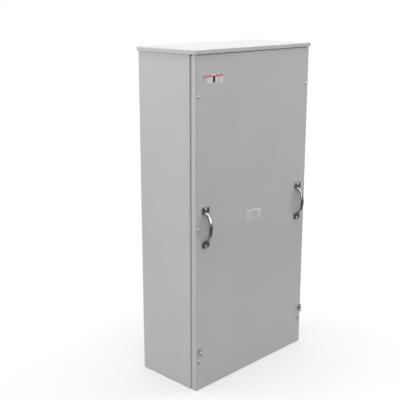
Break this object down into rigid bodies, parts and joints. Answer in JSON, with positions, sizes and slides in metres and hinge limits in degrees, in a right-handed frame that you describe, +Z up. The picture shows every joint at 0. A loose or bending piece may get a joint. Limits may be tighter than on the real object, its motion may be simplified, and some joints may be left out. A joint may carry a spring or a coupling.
{
  "type": "termination cabinet",
  "caption": "Tall wall-mounted or free-standing steel cable termination cabinet with rain hood, lift-off front cover, bow handles and sealing studs.",
  "frame": {"origin": "centre of the base of the body, on the surface that the cabinet stands on", "axes": "+Z up, -Y out of the front cover, +X to the viewer's right"},
  "size_m": [0.6208, 0.3115, 1.2192],
  "materials": {
    "grey_paint": "light grey powder coat, fine orange peel, satin",
    "cover_paint": "light grey powder coat, fine orange peel, satin",
    "zinc_steel": "bright zinc plate",
    "bright_chrome": "polished chrome plate",
    "tinned_bar": "tin plated bar",
    "lug_aluminium": "extruded aluminium",
    "red_insulator": "red glass-filled polyester",
    "label_film": "pale printed film"
  },
  "bodies": {
    "cabinet": {"wrapper": "grey_paint", "bottom_pan": "grey_paint", "top_pan": "grey_paint", "roof_cap": "grey_paint", "lower_bus_rail": "zinc_steel", "upper_bus_rail": "zinc_steel", "left_tie_bracket": "zinc_steel", "right_tie_bracket": "zinc_steel", "bracket_rivets": "grey_paint", "weld_nuts": "zinc_steel", "seal_studs": "zinc_steel", "rail_bolts": "zinc_steel", "bar_bolts": "zinc_steel", "landing_bolts": "zinc_steel", "landing_washers": "zinc_steel", "spring_washers": "zinc_steel", "landing_nuts": "zinc_steel", "set_screws": "lug_aluminium", "lug_bolts": "zinc_steel", "lug_nuts": "zinc_steel", "ground_bar": "lug_aluminium", "ground_screws": "zinc_steel", "ground_studs": "zinc_steel", "ground_nuts": "zinc_steel", "bus_bar_a": "tinned_bar", "cable_lug_a": "lug_aluminium", "lower_insulator_a": "red_insulator", "upper_insulator_a": "red_insulator", "bus_bar_b": "tinned_bar", "cable_lug_b": "lug_aluminium", "lower_insulator_b": "red_insulator", "upper_insulator_b": "red_insulator", "bus_bar_c": "tinned_bar", "cable_lug_c": "lug_aluminium", "lower_insulator_c": "red_insulator", "upper_insulator_c": "red_insulator", "bus_bar_n": "tinned_bar", "cable_lug_n": "lug_aluminium", "lower_insulator_n": "red_insulator", "upper_insulator_n": "red_insulator"},
    "cover": {"cover_pan": "cover_paint", "cover_screws": "zinc_steel", "handle_screws": "zinc_steel", "handle_nuts": "zinc_steel", "upper_label": "label_film", "centre_label": "label_film", "left_handle": "bright_chrome", "right_handle": "bright_chrome"},
    "left_washer": {"left_stud_washer": "zinc_steel"},
    "right_washer": {"right_stud_washer": "zinc_steel"},
    "left_nut": {"left_wing_nut": "zinc_steel"},
    "right_nut": {"right_wing_nut": "zinc_steel"}
  },
  "joints": [
    {"name": "cover_off", "type": "slide", "parent": "cabinet", "child": "cover", "axis": [0, -1, 0], "range_m": [0, 0.3]},
    {"name": "left_nut_travel", "type": "slide", "parent": "cover", "child": "left_washer", "axis": [0, -1, 0], "range_m": [0, 0.01415]},
    {"name": "left_nut_turn", "type": "hinge", "parent": "left_washer", "child": "left_nut", "pos_m": [-0.2914, -0.1555, 0.153], "axis": [0, 1, 0], "range_deg": [0, 3600]},
    {"name": "right_nut_travel", "type": "slide", "parent": "cover", "child": "right_washer", "axis": [0, -1, 0], "range_m": [0, 0.01415]},
    {"name": "right_nut_turn", "type": "hinge", "parent": "right_washer", "child": "right_nut", "pos_m": [0.2914, -0.1555, 0.153], "axis": [0, 1, 0], "range_deg": [0, 3600]}
  ],
  "couplings": [
    {"joint": "left_nut_travel", "follows": "left_nut_turn", "m_per_rad": 0.00022458},
    {"joint": "right_nut_travel", "follows": "right_nut_turn", "m_per_rad": 0.00022458}
  ]
}
